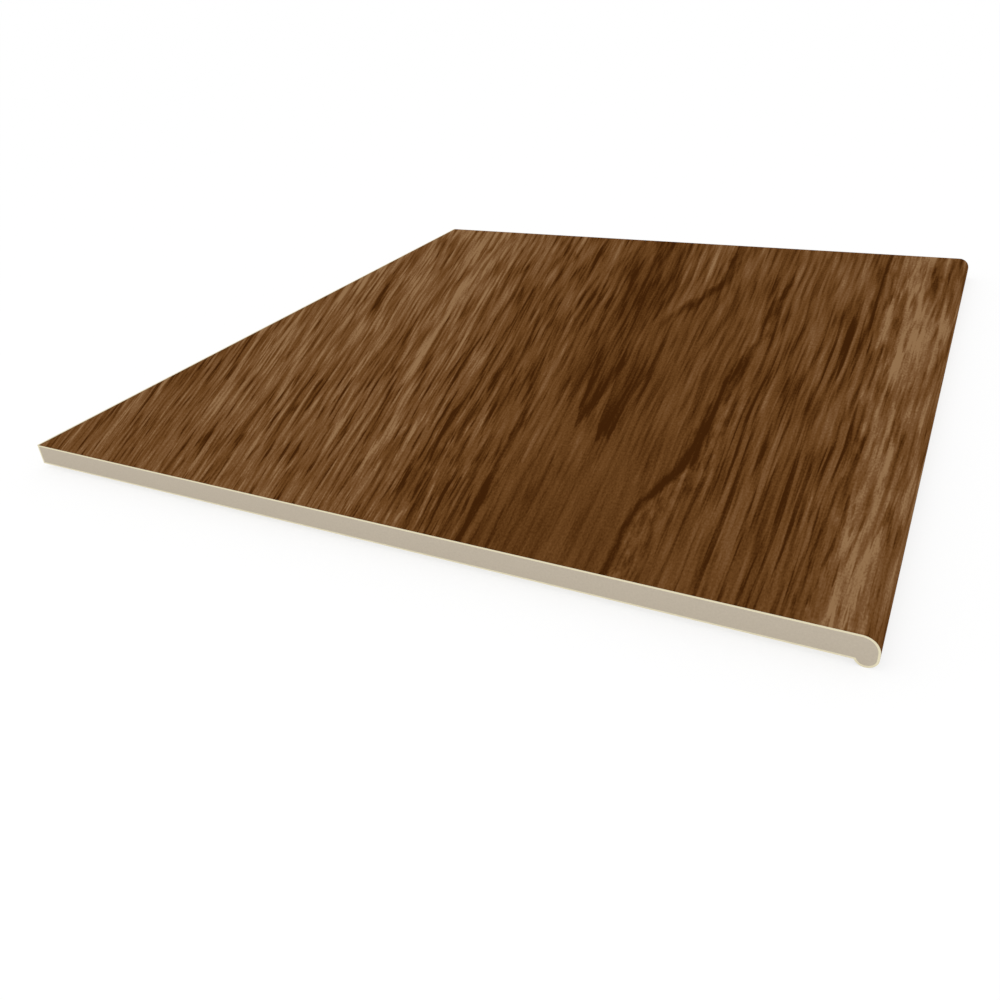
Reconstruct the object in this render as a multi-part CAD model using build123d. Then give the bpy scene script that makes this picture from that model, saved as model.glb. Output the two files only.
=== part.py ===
from build123d import *
import os

# Stair landing board: a flat laminated panel whose front edge is rolled into a nosing.
# The nosing is a quarter round over a short upright front and a small bead that hangs below the panel.
# Millimetres. +X runs from the back edge to the nosing, +Y along the nosing, +Z up.
# The origin lies under the middle of the board, level with the bottom of the bead.

# Driving dimensions
nosing_length = 1000.0       # board's extent along the nosing
board_depth = 940.0          # from the back edge to the front of the nosing
core_thickness = 21.0        # fibreboard panel stock
decor_thickness = 1.8        # wood-print laminate, over the top and round the nosing
backing_thickness = 1.6      # balancing laminate under the panel
edge_band_thickness = 2.0    # strip glued on the back edge
shoulder_radius = 15.0       # quarter round at the top of the nosing
bead_radius = 9.5            # bead at the bottom of the nosing
bead_drop = 5.6              # how far the bead hangs below the underside

# Heights and places that follow
underside_z = bead_drop
core_bottom_z = underside_z + backing_thickness
core_top_z = core_bottom_z + core_thickness
top_z = core_top_z + decor_thickness
back_x = -board_depth / 2
front_x = board_depth / 2
core_back_x = back_x + edge_band_thickness
shoulder_x = front_x - shoulder_radius
shoulder_z = top_z - shoulder_radius
bead_x = front_x - bead_radius
bead_z = bead_radius


def strip(x_low, x_high, z_low, z_high):
    """Rectangle in the board's section, between two depths and two heights."""
    middle = Pos((x_low + x_high) / 2, (z_low + z_high) / 2)
    return middle * Rectangle(x_high - x_low, z_high - z_low)


def nosing(cover):
    """Section of the nosing under a cover of this thickness, in front of the shoulder's centre line."""
    round_top = Pos(shoulder_x, shoulder_z) * Circle(shoulder_radius - cover)
    shoulder = round_top & strip(shoulder_x, front_x, shoulder_z, top_z)
    front = strip(shoulder_x, front_x - cover, bead_z, shoulder_z)
    bead = Pos(bead_x, bead_z) * Circle(bead_radius - cover)
    return shoulder + front + bead


def along_nosing(section):
    """Solid with this section over the whole length of the nosing, centred on the origin."""
    return extrude(Plane.XZ * section, amount=nosing_length / 2, both=True)


def panel_section():
    """Flat part of the core, from the back edge to the nosing."""
    return strip(core_back_x, shoulder_x, core_bottom_z, core_top_z)


def core_board():
    """Panel core, with its front edge shaped to the nosing."""
    return along_nosing(panel_section() + nosing(decor_thickness))


def decor_laminate():
    """Laminate that covers the top, rolls round the nosing and ends against the panel's lower face."""
    sheet = strip(core_back_x, shoulder_x, core_top_z, top_z)
    roll = nosing(0) - nosing(decor_thickness) - panel_section()
    return along_nosing(sheet + roll)


def backing_laminate():
    """Flat laminate under the panel, running forward until it meets the rolled laminate of the bead."""
    sheet = strip(core_back_x, shoulder_x, underside_z, core_bottom_z)
    return along_nosing(sheet - nosing(0))


def back_edge_band():
    """Strip over the back edge of the core and of both laminates."""
    return along_nosing(strip(back_x, core_back_x, underside_z, top_z))


pieces = {
    "core_board": core_board(),
    "decor_laminate": decor_laminate(),
    "backing_laminate": backing_laminate(),
    "back_edge_band": back_edge_band(),
}

os.makedirs("parts", exist_ok=True)
for name, solid in pieces.items():
    export_step(solid, f"parts/{name}.step")
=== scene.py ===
from functools import partial
import math
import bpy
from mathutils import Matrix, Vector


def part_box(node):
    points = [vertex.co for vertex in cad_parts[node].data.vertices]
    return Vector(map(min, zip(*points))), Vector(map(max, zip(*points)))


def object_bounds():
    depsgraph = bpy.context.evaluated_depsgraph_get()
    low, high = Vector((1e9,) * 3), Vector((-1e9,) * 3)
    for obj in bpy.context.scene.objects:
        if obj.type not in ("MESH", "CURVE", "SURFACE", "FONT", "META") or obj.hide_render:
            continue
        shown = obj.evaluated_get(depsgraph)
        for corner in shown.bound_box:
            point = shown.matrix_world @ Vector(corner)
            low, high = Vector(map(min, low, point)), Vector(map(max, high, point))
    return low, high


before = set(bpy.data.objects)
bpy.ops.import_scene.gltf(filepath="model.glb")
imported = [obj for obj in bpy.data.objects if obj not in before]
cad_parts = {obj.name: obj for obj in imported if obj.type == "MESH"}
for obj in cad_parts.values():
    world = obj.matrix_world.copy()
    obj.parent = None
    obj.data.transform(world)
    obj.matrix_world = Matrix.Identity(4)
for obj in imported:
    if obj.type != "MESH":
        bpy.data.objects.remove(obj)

from types import SimpleNamespace

import bpy
from mathutils import Quaternion, Vector

MM = 0.001

# Sizes of the board, read from the frame, in metres
cad_low, cad_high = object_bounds()
top_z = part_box("decor_laminate")[1].z
near_end = cad_low.y

# The print's grain fans out from a point beyond the near end and a little behind the nosing's front.
# Places on the print are in metres. Across the grain they are measured at the board's middle, from a line
# through that point, so that the nosing is near 0 and the back edge near -0.9. Along the board they are y.
FAN_BEHIND_FRONT = 47 * MM
FAN_BEYOND_END = 1424 * MM
grain_centre_x = cad_high.x - FAN_BEHIND_FRONT
grain_reach = FAN_BEYOND_END - near_end


def linear(hex_colour):
    """Linear red, green, blue and alpha of an sRGB colour such as B9AE9D."""
    channels = [int(hex_colour[i:i + 2], 16) / 255 for i in (0, 2, 4)]
    return [c / 12.92 if c <= 0.04045 else ((c + 0.055) / 1.055) ** 2.4 for c in channels] + [1.0]


def add_node(tree, kind, values=None, links=None, stops=None, **settings):
    """Adds a node with its settings, fixed inputs, links from sockets or nodes, and rising ramp stops."""
    node = tree.nodes.new(kind)
    for name, value in settings.items():
        setattr(node, name, value)
    for socket, value in (values or {}).items():
        node.inputs[socket].default_value = value
    for socket, source in (links or {}).items():
        tree.links.new(getattr(source, "outputs", [source])[0], node.inputs[socket])
    for index, (position, colour) in enumerate(stops or []):
        elements = node.color_ramp.elements
        element = elements[index] if index < 2 else elements.new(position)
        element.position = position
        element.color = colour
    return node


def new_material(name):
    """Empty node material, and a function that adds nodes to it."""
    material = bpy.data.materials.new(name)
    material.use_nodes = True
    material.node_tree.nodes.clear()
    return material, partial(add_node, material.node_tree)


def profile(add, value, *pairs, run="LINEAR"):
    """Strength that follows a value through pairs of place and strength, and is level beyond them."""
    first = pairs[0][0]
    last = pairs[-1][0]
    share = add("ShaderNodeMapRange", {"From Min": first, "From Max": last}, {0: value})
    stops = [((place - first) / (last - first), (strength, strength, strength, 1.0))
             for place, strength in pairs]
    ramp = add("ShaderNodeValToRGB", links={0: share}, stops=stops)
    ramp.color_ramp.interpolation = run
    return ramp


def combine(add, operation, first, *others):
    """Sum or product of several strengths."""
    total = first
    for other in others:
        total = add("ShaderNodeMath", links={0: total, 1: other}, operation=operation)
    return total


def streaks(add, across, along, width, length, detail, seed):
    """Noise from 0 to 1, in spots about this many millimetres wide and this many long."""
    x = add("ShaderNodeMath", {1: 1 / (width * MM)}, {0: across}, operation="MULTIPLY")
    y = add("ShaderNodeMath", {1: 1 / (length * MM)}, {0: along}, operation="MULTIPLY")
    place = add("ShaderNodeCombineXYZ", {"Z": seed}, {"X": x, "Y": y})
    return add("ShaderNodeTexNoise", {"Scale": 1.0, "Detail": detail, "Roughness": 0.55}, {"Vector": place})


def print_places(add, place):
    """Ways across and along the fanned grain, the way along the board, a short noise and a drawn-out one."""
    wander_reach = 6 * MM
    axes = add("ShaderNodeSeparateXYZ", links={0: place})
    y = axes.outputs["Y"]
    # The sheet is followed from the back edge and down over the nosing
    fall = add("ShaderNodeMath", {0: top_z}, {1: axes.outputs["Z"]}, operation="SUBTRACT")
    sheet = combine(add, "ADD", axes.outputs["X"], fall)
    off_centre = add("ShaderNodeMath", {1: -grain_centre_x}, {0: sheet}, operation="ADD")
    reach = add("ShaderNodeMath", {1: grain_reach}, {0: y}, operation="ADD")
    spread = add("ShaderNodeMath", {0: grain_reach}, {1: reach}, operation="DIVIDE")
    straight = combine(add, "MULTIPLY", off_centre, spread)
    along = add("ShaderNodeMath", {1: math.e}, {0: spread}, operation="LOGARITHM")
    along = add("ShaderNodeMath", {1: -grain_reach}, {0: along}, operation="MULTIPLY")
    # The grain wanders a little from straight
    wander = streaks(add, straight, along, width=120, length=360, detail=1.0, seed=3.0)
    wander = add("ShaderNodeMapRange", {"To Min": -wander_reach, "To Max": wander_reach}, {0: wander})
    across = combine(add, "ADD", straight, wander)
    ragged = streaks(add, across, along, width=14, length=50, detail=2.0, seed=53.0)
    ragged = add("ShaderNodeMath", {1: -0.5}, {0: ragged}, operation="ADD")
    drawn = streaks(add, across, along, width=11, length=260, detail=2.0, seed=11.0)
    drawn = add("ShaderNodeMath", {1: -0.5}, {0: drawn}, operation="ADD")
    return SimpleNamespace(across=across, along=along, y=y, ragged=ragged, drawn=drawn)


def roughen(add, at, line, ragged, drawn):
    """Moves a line to and fro by the two noises, each times this many metres."""
    line = add("ShaderNodeMath", {1: ragged}, {0: at.ragged, 2: line}, operation="MULTIPLY_ADD")
    return add("ShaderNodeMath", {1: drawn}, {0: at.drawn, 2: line}, operation="MULTIPLY_ADD")


def broad_bands(add, at):
    """Tone of the wood from the pale sapwood at the back to the dark heart, and a little paler far off."""
    far_lift = 0.13
    bands = profile(add, at.across, (-1.25, 0.7), (-0.872, 0.69), (-0.809, 0.79), (-0.746, 0.69),
                    (-0.676, 0.69), (-0.62, 0.78), (-0.578, 0.62), (-0.508, 0.51), (-0.452, 0.43),
                    (-0.389, 0.43), (-0.333, 0.4), (-0.284, 0.45), (-0.2, 0.45), (-0.13, 0.53))
    blotch = streaks(add, at.across, at.along, width=50, length=500, detail=1.0, seed=31.0)
    blotch = add("ShaderNodeMapRange", {"To Min": -0.25, "To Max": 0.25}, {0: blotch})
    slope = add("ShaderNodeMath", {1: far_lift}, {0: at.y}, operation="MULTIPLY")
    return combine(add, "ADD", bands, blotch, slope)


def fibres(add, at):
    """Fine fibres, all over."""
    fibre = streaks(add, at.across, at.along, width=4.2, length=95, detail=3.0, seed=23.0)
    return add("ShaderNodeMapRange", {"To Min": -0.5, "To Max": 0.5}, {0: fibre})


def pores(add, at):
    """Short dark pores, deepest at the near end and calm round the heart."""
    pore = streaks(add, at.across, at.along, width=6.2, length=105, detail=2.0, seed=41.0)
    pore = profile(add, pore, (0.53, 0.0), (0.66, 1.0), run="EASE")
    depth = profile(add, at.y, (-0.4, 0.42), (0.0, 0.28))
    zone = profile(add, at.across, (-0.438, 1.0), (-0.298, 0.45), (-0.074, 0.45), (-0.018, 1.0))
    return combine(add, "MULTIPLY", pore, depth, zone)


def ridges(add, at):
    """Straight pale and dark ridges, weaker at the near end and on the nosing."""
    ridge = streaks(add, at.across, at.along, width=6.2, length=210, detail=1.0, seed=59.0)
    ridge = add("ShaderNodeMapRange", {"From Min": 0.36, "From Max": 0.64, "To Min": -0.32, "To Max": 0.32},
                {0: ridge})
    zone = profile(add, at.across, (-1.25, 0.8), (-0.83, 1.0), (-0.48, 1.0), (-0.382, 0.8), (-0.242, 0.6),
                   (-0.102, 0.9), (0.15, 0.3))
    far = profile(add, at.y, (-0.5, 0.4), (-0.25, 1.0))
    return combine(add, "MULTIPLY", ridge, zone, far)


def long_lines(add, at):
    """Long dark lines, mostly between the front vein and the nosing, fainter towards the far end."""
    line = streaks(add, at.across, at.along, width=8, length=420, detail=2.0, seed=67.0)
    line = profile(add, line, (0.51, 0.0), (0.62, 0.5), run="EASE")
    zone = profile(add, at.across, (-1.25, 0.1), (-0.83, 0.2), (-0.55, 0.2), (-0.41, 0.25), (-0.242, 0.3),
                   (-0.144, 1.0), (-0.046, 1.0), (-0.004, 0.25), (0.15, 0.1))
    fade = profile(add, at.y, (0.0, 1.0), (0.35, 0.55))
    return combine(add, "MULTIPLY", line, zone, fade)


def open_grain(add, at):
    """How strongly the grain shows: calm in the near heart, open elsewhere."""
    near = profile(add, at.across, (-1.25, 0.95), (-0.592, 1.0), (-0.466, 0.9), (-0.41, 0.5), (-0.326, 0.35),
                   (-0.214, 0.4), (-0.144, 0.75), (-0.032, 0.85), (0.15, 0.8))
    far = profile(add, at.across, (-0.494, 0.9), (-0.41, 0.95), (-0.326, 0.95), (-0.214, 0.85),
                  (-0.13, 0.78), (-0.032, 1.0), (0.15, 0.9))
    share = profile(add, at.y, (-0.4, 0.0), (0.1, 1.0))
    return add("ShaderNodeMix", links={0: share, 2: near, 3: far})


def grain_lines(add, at):
    """All the fine lines of the grain together, about zero, with their pale side held back."""
    streak_strength = 1.25
    pale_share = 0.75
    streak = add("ShaderNodeMath", {1: streak_strength}, {0: at.drawn}, operation="MULTIPLY")
    pale = combine(add, "ADD", streak, fibres(add, at), ridges(add, at))
    grain = combine(add, "SUBTRACT", pale, pores(add, at), long_lines(add, at))
    grain = combine(add, "MULTIPLY", grain, open_grain(add, at))
    muted = add("ShaderNodeMath", {1: pale_share}, {0: grain}, operation="MULTIPLY")
    return combine(add, "MINIMUM", grain, muted)


def speckle(add, at):
    """Dots of ink, about 2 by 5 mm."""
    dots = streaks(add, at.across, at.along, width=2.2, length=5, detail=1.0, seed=37.0)
    return add("ShaderNodeMapRange", {"To Min": -0.25, "To Max": 0.25}, {0: dots})


def heart_flame(add, at):
    """Tongue of dark wood with two pointed fingers, which opens and fades towards the far end."""
    middle_line = -0.3325
    finger_offset = 0.0175
    finger_spread = 0.002
    lean = 0.9
    middle = add("ShaderNodeMath", {1: -middle_line}, {0: at.across}, operation="ADD")
    side = add("ShaderNodeMath", links={0: middle}, operation="ABSOLUTE")
    side = add("ShaderNodeMath", {1: -finger_offset}, {0: side}, operation="ADD")
    side = combine(add, "MULTIPLY", side, side)
    depth = add("ShaderNodeMath", {1: lean}, {0: middle, 2: at.y}, operation="MULTIPLY_ADD")
    depth = add("ShaderNodeMath", {1: -1 / finger_spread}, {0: side, 2: depth}, operation="MULTIPLY_ADD")
    depth = roughen(add, at, depth, ragged=0.1, drawn=0.22)
    dark = profile(add, depth, (-0.3, 0.0), (-0.275, 0.1), (-0.255, 0.85), (-0.22, 1.0), (-0.17, 0.85),
                   (-0.1, 0.5), (0.02, 0.35), (0.12, 0.4), (0.3, 0.3))
    fade = profile(add, at.y, (-0.22, 0.45), (0.02, 0.08), run="EASE")
    return combine(add, "MULTIPLY", dark, fade)


def far_heart(add, at):
    """Dark wood behind the pale tongue, towards the far end."""
    shade = profile(add, at.across, (-0.396, 0.0), (-0.361, 1.0), (-0.319, 1.0), (-0.298, 0.0))
    far = profile(add, at.y, (-0.1, 0.0), (0.25, 0.14), run="EASE")
    return combine(add, "MULTIPLY", shade, far)


def pale_tongue(add, at):
    """Pale tongue in front of the far heart, with a soft dark rim along its front."""
    rim = profile(add, at.y, (0.02, 0.31), (0.36, 0.245), run="EASE")
    over = combine(add, "ADD", at.across, rim)
    over = roughen(add, at, over, ragged=0.014, drawn=0.02)
    behind = profile(add, at.across, (-0.318, 0.0), (-0.304, 0.17), run="EASE")
    inside = profile(add, over, (-0.012, 1.0), (-0.004, 0.0), run="EASE")
    start = profile(add, at.y, (0.05, 0.0), (0.18, 1.0), run="EASE")
    tongue = combine(add, "MULTIPLY", inside, behind, start)
    line = add("ShaderNodeMath", links={0: over}, operation="ABSOLUTE")
    line = profile(add, line, (0.0, 1.0), (0.012, 0.0), run="EASE")
    strength = profile(add, at.y, (-0.1, 0.0), (0.032, 0.05), (0.122, 0.25), (0.218, 0.4), (0.35, 0.38),
                       (0.5, 0.3))
    line = combine(add, "MULTIPLY", line, strength)
    return combine(add, "SUBTRACT", tongue, line)


def ahead_of_vein(add, at):
    """How far a place is in front of the front vein, which swings forward from the near end."""
    swing = profile(add, at.y, (-0.43, 0.2385), (-0.25, 0.194), run="EASE")
    drift = profile(add, at.y, (-0.25, 0.0), (0.36, 0.033))
    ahead = combine(add, "ADD", at.across, swing)
    ahead = combine(add, "SUBTRACT", ahead, drift)
    return roughen(add, at, ahead, ragged=0.016, drawn=0.0)


def front_vein(add, at, ahead):
    """Dark vein in front of the heart, which swells and then fades towards the far end."""
    edge_slope = -60.0
    darkest = 0.45
    vein = add("ShaderNodeMath", links={0: ahead}, operation="ABSOLUTE")
    vein = roughen(add, at, vein, ragged=0.0, drawn=0.015)
    strength = profile(add, at.y, (-0.5, 0.35), (-0.38, 0.45), (-0.3, 0.7), (-0.22, 0.65), (-0.1, 0.55),
                       (0.1, 0.52), (0.25, 0.5), (0.35, 0.3), (0.5, 0.0))
    vein = add("ShaderNodeMath", {1: edge_slope}, {0: vein, 2: strength}, operation="MULTIPLY_ADD")
    return profile(add, vein, (0.0, 0.0), (darkest, darkest))


def vein_ripple(add, at, ahead):
    """Short pale and dark flecks along the front of the front vein, at the near end."""
    fleck = streaks(add, at.across, at.along, width=7, length=40, detail=2.0, seed=97.0)
    fleck = add("ShaderNodeMapRange", {"From Min": 0.35, "From Max": 0.65, "To Min": -0.2, "To Max": 0.3},
                {0: fleck})
    zone = profile(add, ahead, (0.004, 0.0), (0.012, 1.0), (0.028, 0.8), (0.05, 0.0))
    fade = profile(add, at.y, (-0.5, 1.0), (-0.25, 0.8), (-0.05, 0.0))
    return combine(add, "MULTIPLY", fleck, zone, fade)


def rear_vein(add, at):
    """Straight dark vein behind the heart, at the near end only."""
    middle_line = -0.43
    vein = add("ShaderNodeMath", {1: -middle_line}, {0: at.across}, operation="ADD")
    vein = roughen(add, at, vein, ragged=0.012, drawn=0.0)
    vein = add("ShaderNodeMath", links={0: vein}, operation="ABSOLUTE")
    vein = profile(add, vein, (0.001, 1.0), (0.009, 0.0), run="EASE")
    fade = profile(add, at.y, (-0.32, 0.45), (-0.1, 0.0), run="EASE")
    return combine(add, "MULTIPLY", vein, fade)


def pale_flecks(add, at):
    """Short pale flecks, mostly behind the rear vein and at the near end."""
    fleck = streaks(add, at.across, at.along, width=5.5, length=65, detail=1.0, seed=89.0)
    fleck = profile(add, fleck, (0.5, 0.0), (0.75, 0.35), run="EASE")
    zone = profile(add, at.across, (-1.25, 0.3), (-0.648, 0.4), (-0.578, 1.0), (-0.48, 1.0), (-0.438, 0.3),
                   (-0.2, 0.2), (0.15, 0.0))
    fade = profile(add, at.y, (-0.35, 1.0), (0.0, 0.2), run="EASE")
    return combine(add, "MULTIPLY", fleck, zone, fade)


def pale_nosing(add, at):
    """Pale band along the nosing, which slants back a little towards the far end, with broad flecks."""
    edge = profile(add, at.y, (-0.45, 0.008), (0.35, 0.04))
    offset = combine(add, "ADD", at.across, edge)
    offset = roughen(add, at, offset, ragged=0.05, drawn=0.0)
    pale = profile(add, offset, (-0.02, 0.0), (-0.008, 0.03), (0.005, 0.3), (0.018, 0.42), (0.035, 0.4),
                   (0.045, 0.24), (0.08, 0.22))
    fade = profile(add, at.y, (-0.25, 1.0), (0.3, 0.5))
    pale = combine(add, "MULTIPLY", pale, fade)
    fleck = streaks(add, at.across, at.along, width=11, length=150, detail=4.0, seed=79.0)
    fleck = add("ShaderNodeMapRange", {"To Min": -0.62, "To Max": 0.62}, {0: fleck})
    zone = profile(add, offset, (-0.005, 0.0), (0.01, 1.0))
    return add("ShaderNodeMath", links={0: fleck, 1: zone, 2: pale}, operation="MULTIPLY_ADD")


# To the eye the print is a matt brown board, with straight grain, a dark heart with a flame and veins in it,
# and a pale band along the nosing. It has no gloss, so it stays as dark at a low angle as from above.
# A real pore is under half a millimetre wide. The streaks are drawn 4 to 11 mm wide, so that they show.
def wood_decor():
    material, add = new_material("wood print on pressed melamine laminate, matt")
    place = add("ShaderNodeTexCoord")
    at = print_places(add, place.outputs["Object"])
    grain = grain_lines(add, at)
    ahead = ahead_of_vein(add, at)
    tone = combine(add, "ADD", broad_bands(add, at), grain, speckle(add, at), pale_tongue(add, at),
                   pale_flecks(add, at), vein_ripple(add, at, ahead), pale_nosing(add, at))
    tone = combine(add, "SUBTRACT", tone, heart_flame(add, at), far_heart(add, at),
                   front_vein(add, at, ahead), rear_vein(add, at))
    wood = add("ShaderNodeValToRGB", links={0: tone}, stops=[
        (0.0, linear("3E2008")), (0.25, linear("543213")), (0.5, linear("684320")), (0.75, linear("775332")),
        (1.0, linear("916F4C"))])

    # The laminate's cut ends, which face along y, show its cream paper body
    end_limit = 0.5
    facing = add("ShaderNodeSeparateXYZ", links={0: place.outputs["Normal"]})
    end = add("ShaderNodeMath", links={0: facing.outputs["Y"]}, operation="ABSOLUTE")
    end = add("ShaderNodeMath", {1: end_limit}, {0: end}, operation="GREATER_THAN")
    # Sockets 6 and 7 are the two colours that are mixed, and output 2 is the mixed colour
    colour = add("ShaderNodeMix", {7: linear("DFD6B8")}, {0: end, 6: wood}, data_type="RGBA")

    relief = add("ShaderNodeBump", {"Strength": 0.3, "Distance": 0.1 * MM}, {"Height": grain})
    shader = add("ShaderNodeBsdfPrincipled", {"Roughness": 0.75, "Specular IOR Level": 0.0},
                 {"Base Color": colour.outputs[2], "Normal": relief})
    add("ShaderNodeOutputMaterial", links={"Surface": shader})
    return material


# To the eye sawn fibreboard is an even, dull tan with a faint mottle. Its fibres are well under
# a millimetre, and are drawn 2 mm coarse so that they show.
def fibreboard():
    material, add = new_material("sawn fibreboard core, unfinished")
    place = add("ShaderNodeTexCoord")
    mottle = add("ShaderNodeTexNoise", {"Scale": 1 / (2 * MM), "Detail": 3.0, "Roughness": 0.6},
                 {"Vector": place.outputs["Object"]})
    colour = add("ShaderNodeValToRGB", links={0: mottle},
                 stops=[(0.3, linear("B5AA99")), (0.7, linear("BCB1A0"))])
    relief = add("ShaderNodeBump", {"Strength": 0.3, "Distance": 0.1 * MM}, {"Height": mottle})
    shader = add("ShaderNodeBsdfPrincipled", {"Roughness": 0.85, "Specular IOR Level": 0.05},
                 {"Base Color": colour, "Normal": relief})
    add("ShaderNodeOutputMaterial", links={"Surface": shader})
    return material


# To the eye both cream sheets are plain and matt, with faint clouds of colour: the pressed paper's are
# about 8 mm across and the extruded strip's about 4 mm.
def cream_sheet(name, cloud_size, dark, pale):
    material, add = new_material(name)
    place = add("ShaderNodeTexCoord")
    cloud = add("ShaderNodeTexNoise", {"Scale": 1 / (cloud_size * MM), "Detail": 2.0},
                {"Vector": place.outputs["Object"]})
    colour = add("ShaderNodeValToRGB", links={0: cloud}, stops=[(0.3, linear(dark)), (0.7, linear(pale))])
    shader = add("ShaderNodeBsdfPrincipled", {"Roughness": 0.6, "Specular IOR Level": 0.1},
                 {"Base Color": colour})
    add("ShaderNodeOutputMaterial", links={"Surface": shader})
    return material


def dress(node, material):
    """Gives a CAD node its finish."""
    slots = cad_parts[node].data.materials
    slots.clear()
    slots.append(material)


dress("core_board", fibreboard())
dress("decor_laminate", wood_decor())
dress("backing_laminate", cream_sheet("cream melamine backing, pressed", 8, "DDD4B6", "E2D9BB"))
dress("back_edge_band", cream_sheet("cream plastic edging, extruded", 4, "DCD3B5", "E2D9BB"))

# White floor, which keeps the board's shadow
FLOOR_SIZE = 120.0
FLOOR_GLOW = 0.75
bpy.ops.object.select_all(action="DESELECT")
bpy.ops.mesh.primitive_plane_add(size=FLOOR_SIZE, location=(0, 0, cad_low.z))
floor = bpy.context.object
floor.name = "floor"
floor_material, add = new_material("white floor")
path = add("ShaderNodeLightPath")
seen = combine(add, "MAXIMUM", path.outputs["Is Camera Ray"], path.outputs["Is Glossy Ray"],
               path.outputs["Is Transmission Ray"])
share = add("ShaderNodeMath", {1: FLOOR_GLOW}, {0: seen}, operation="MULTIPLY")
paint = add("ShaderNodeBsdfDiffuse", {"Color": linear("FFFFFF")})
glow = add("ShaderNodeEmission", {"Color": linear("FFFFFF"), "Strength": 1.0})
mixed = add("ShaderNodeMixShader", links={0: share, 1: paint, 2: glow})
add("ShaderNodeOutputMaterial", links={"Surface": mixed})
floor.data.materials.append(floor_material)

# Even white light from all round
scene = bpy.context.scene
scene.view_settings.view_transform = "Standard"
world = bpy.data.worlds.new("studio")
scene.world = world
world.use_nodes = True
surround = world.node_tree.nodes["Background"]
surround.inputs["Color"].default_value = linear("FFFFFF")
surround.inputs["Strength"].default_value = 1.0

# Weak softbox behind the camera, which lifts the near end to the level of the top
SOFTBOX_PLACE = (0.6, -3.2, 1.6)
SOFTBOX_SIZE = 2.5
SOFTBOX_POWER = 7.0
bpy.ops.object.light_add(type="AREA", location=SOFTBOX_PLACE)
softbox = bpy.context.object
softbox.data.size = SOFTBOX_SIZE
softbox.data.energy = SOFTBOX_POWER
softbox_aim = Vector((0, near_end, 0)) - softbox.location
softbox.rotation_euler = softbox_aim.to_track_quat("-Z", "Y").to_euler()

# Camera, over the near end and to the right of the board's middle
VIEW_AZIMUTH = math.radians(29.67)
VIEW_ELEVATION = math.radians(30.68)
VIEW_ROLL = math.radians(-4.756)
VIEW_DISTANCE = 0.8756
VIEW_TARGET = Vector((0.1085, -0.4201, top_z))
LENS_MM = 32.2
CLIP_NEAR = 0.01
CLIP_FAR = 200.0
bpy.ops.object.camera_add()
camera = bpy.context.object
scene.camera = camera
camera.data.lens = LENS_MM
camera.data.clip_start = CLIP_NEAR
camera.data.clip_end = CLIP_FAR
back = Vector((math.sin(VIEW_AZIMUTH) * math.cos(VIEW_ELEVATION),
               -math.cos(VIEW_AZIMUTH) * math.cos(VIEW_ELEVATION),
               math.sin(VIEW_ELEVATION)))
camera.location = VIEW_TARGET + back * VIEW_DISTANCE
camera.rotation_mode = "QUATERNION"
camera.rotation_quaternion = (-back).to_track_quat("-Z", "Y") @ Quaternion((0, 0, 1), VIEW_ROLL)
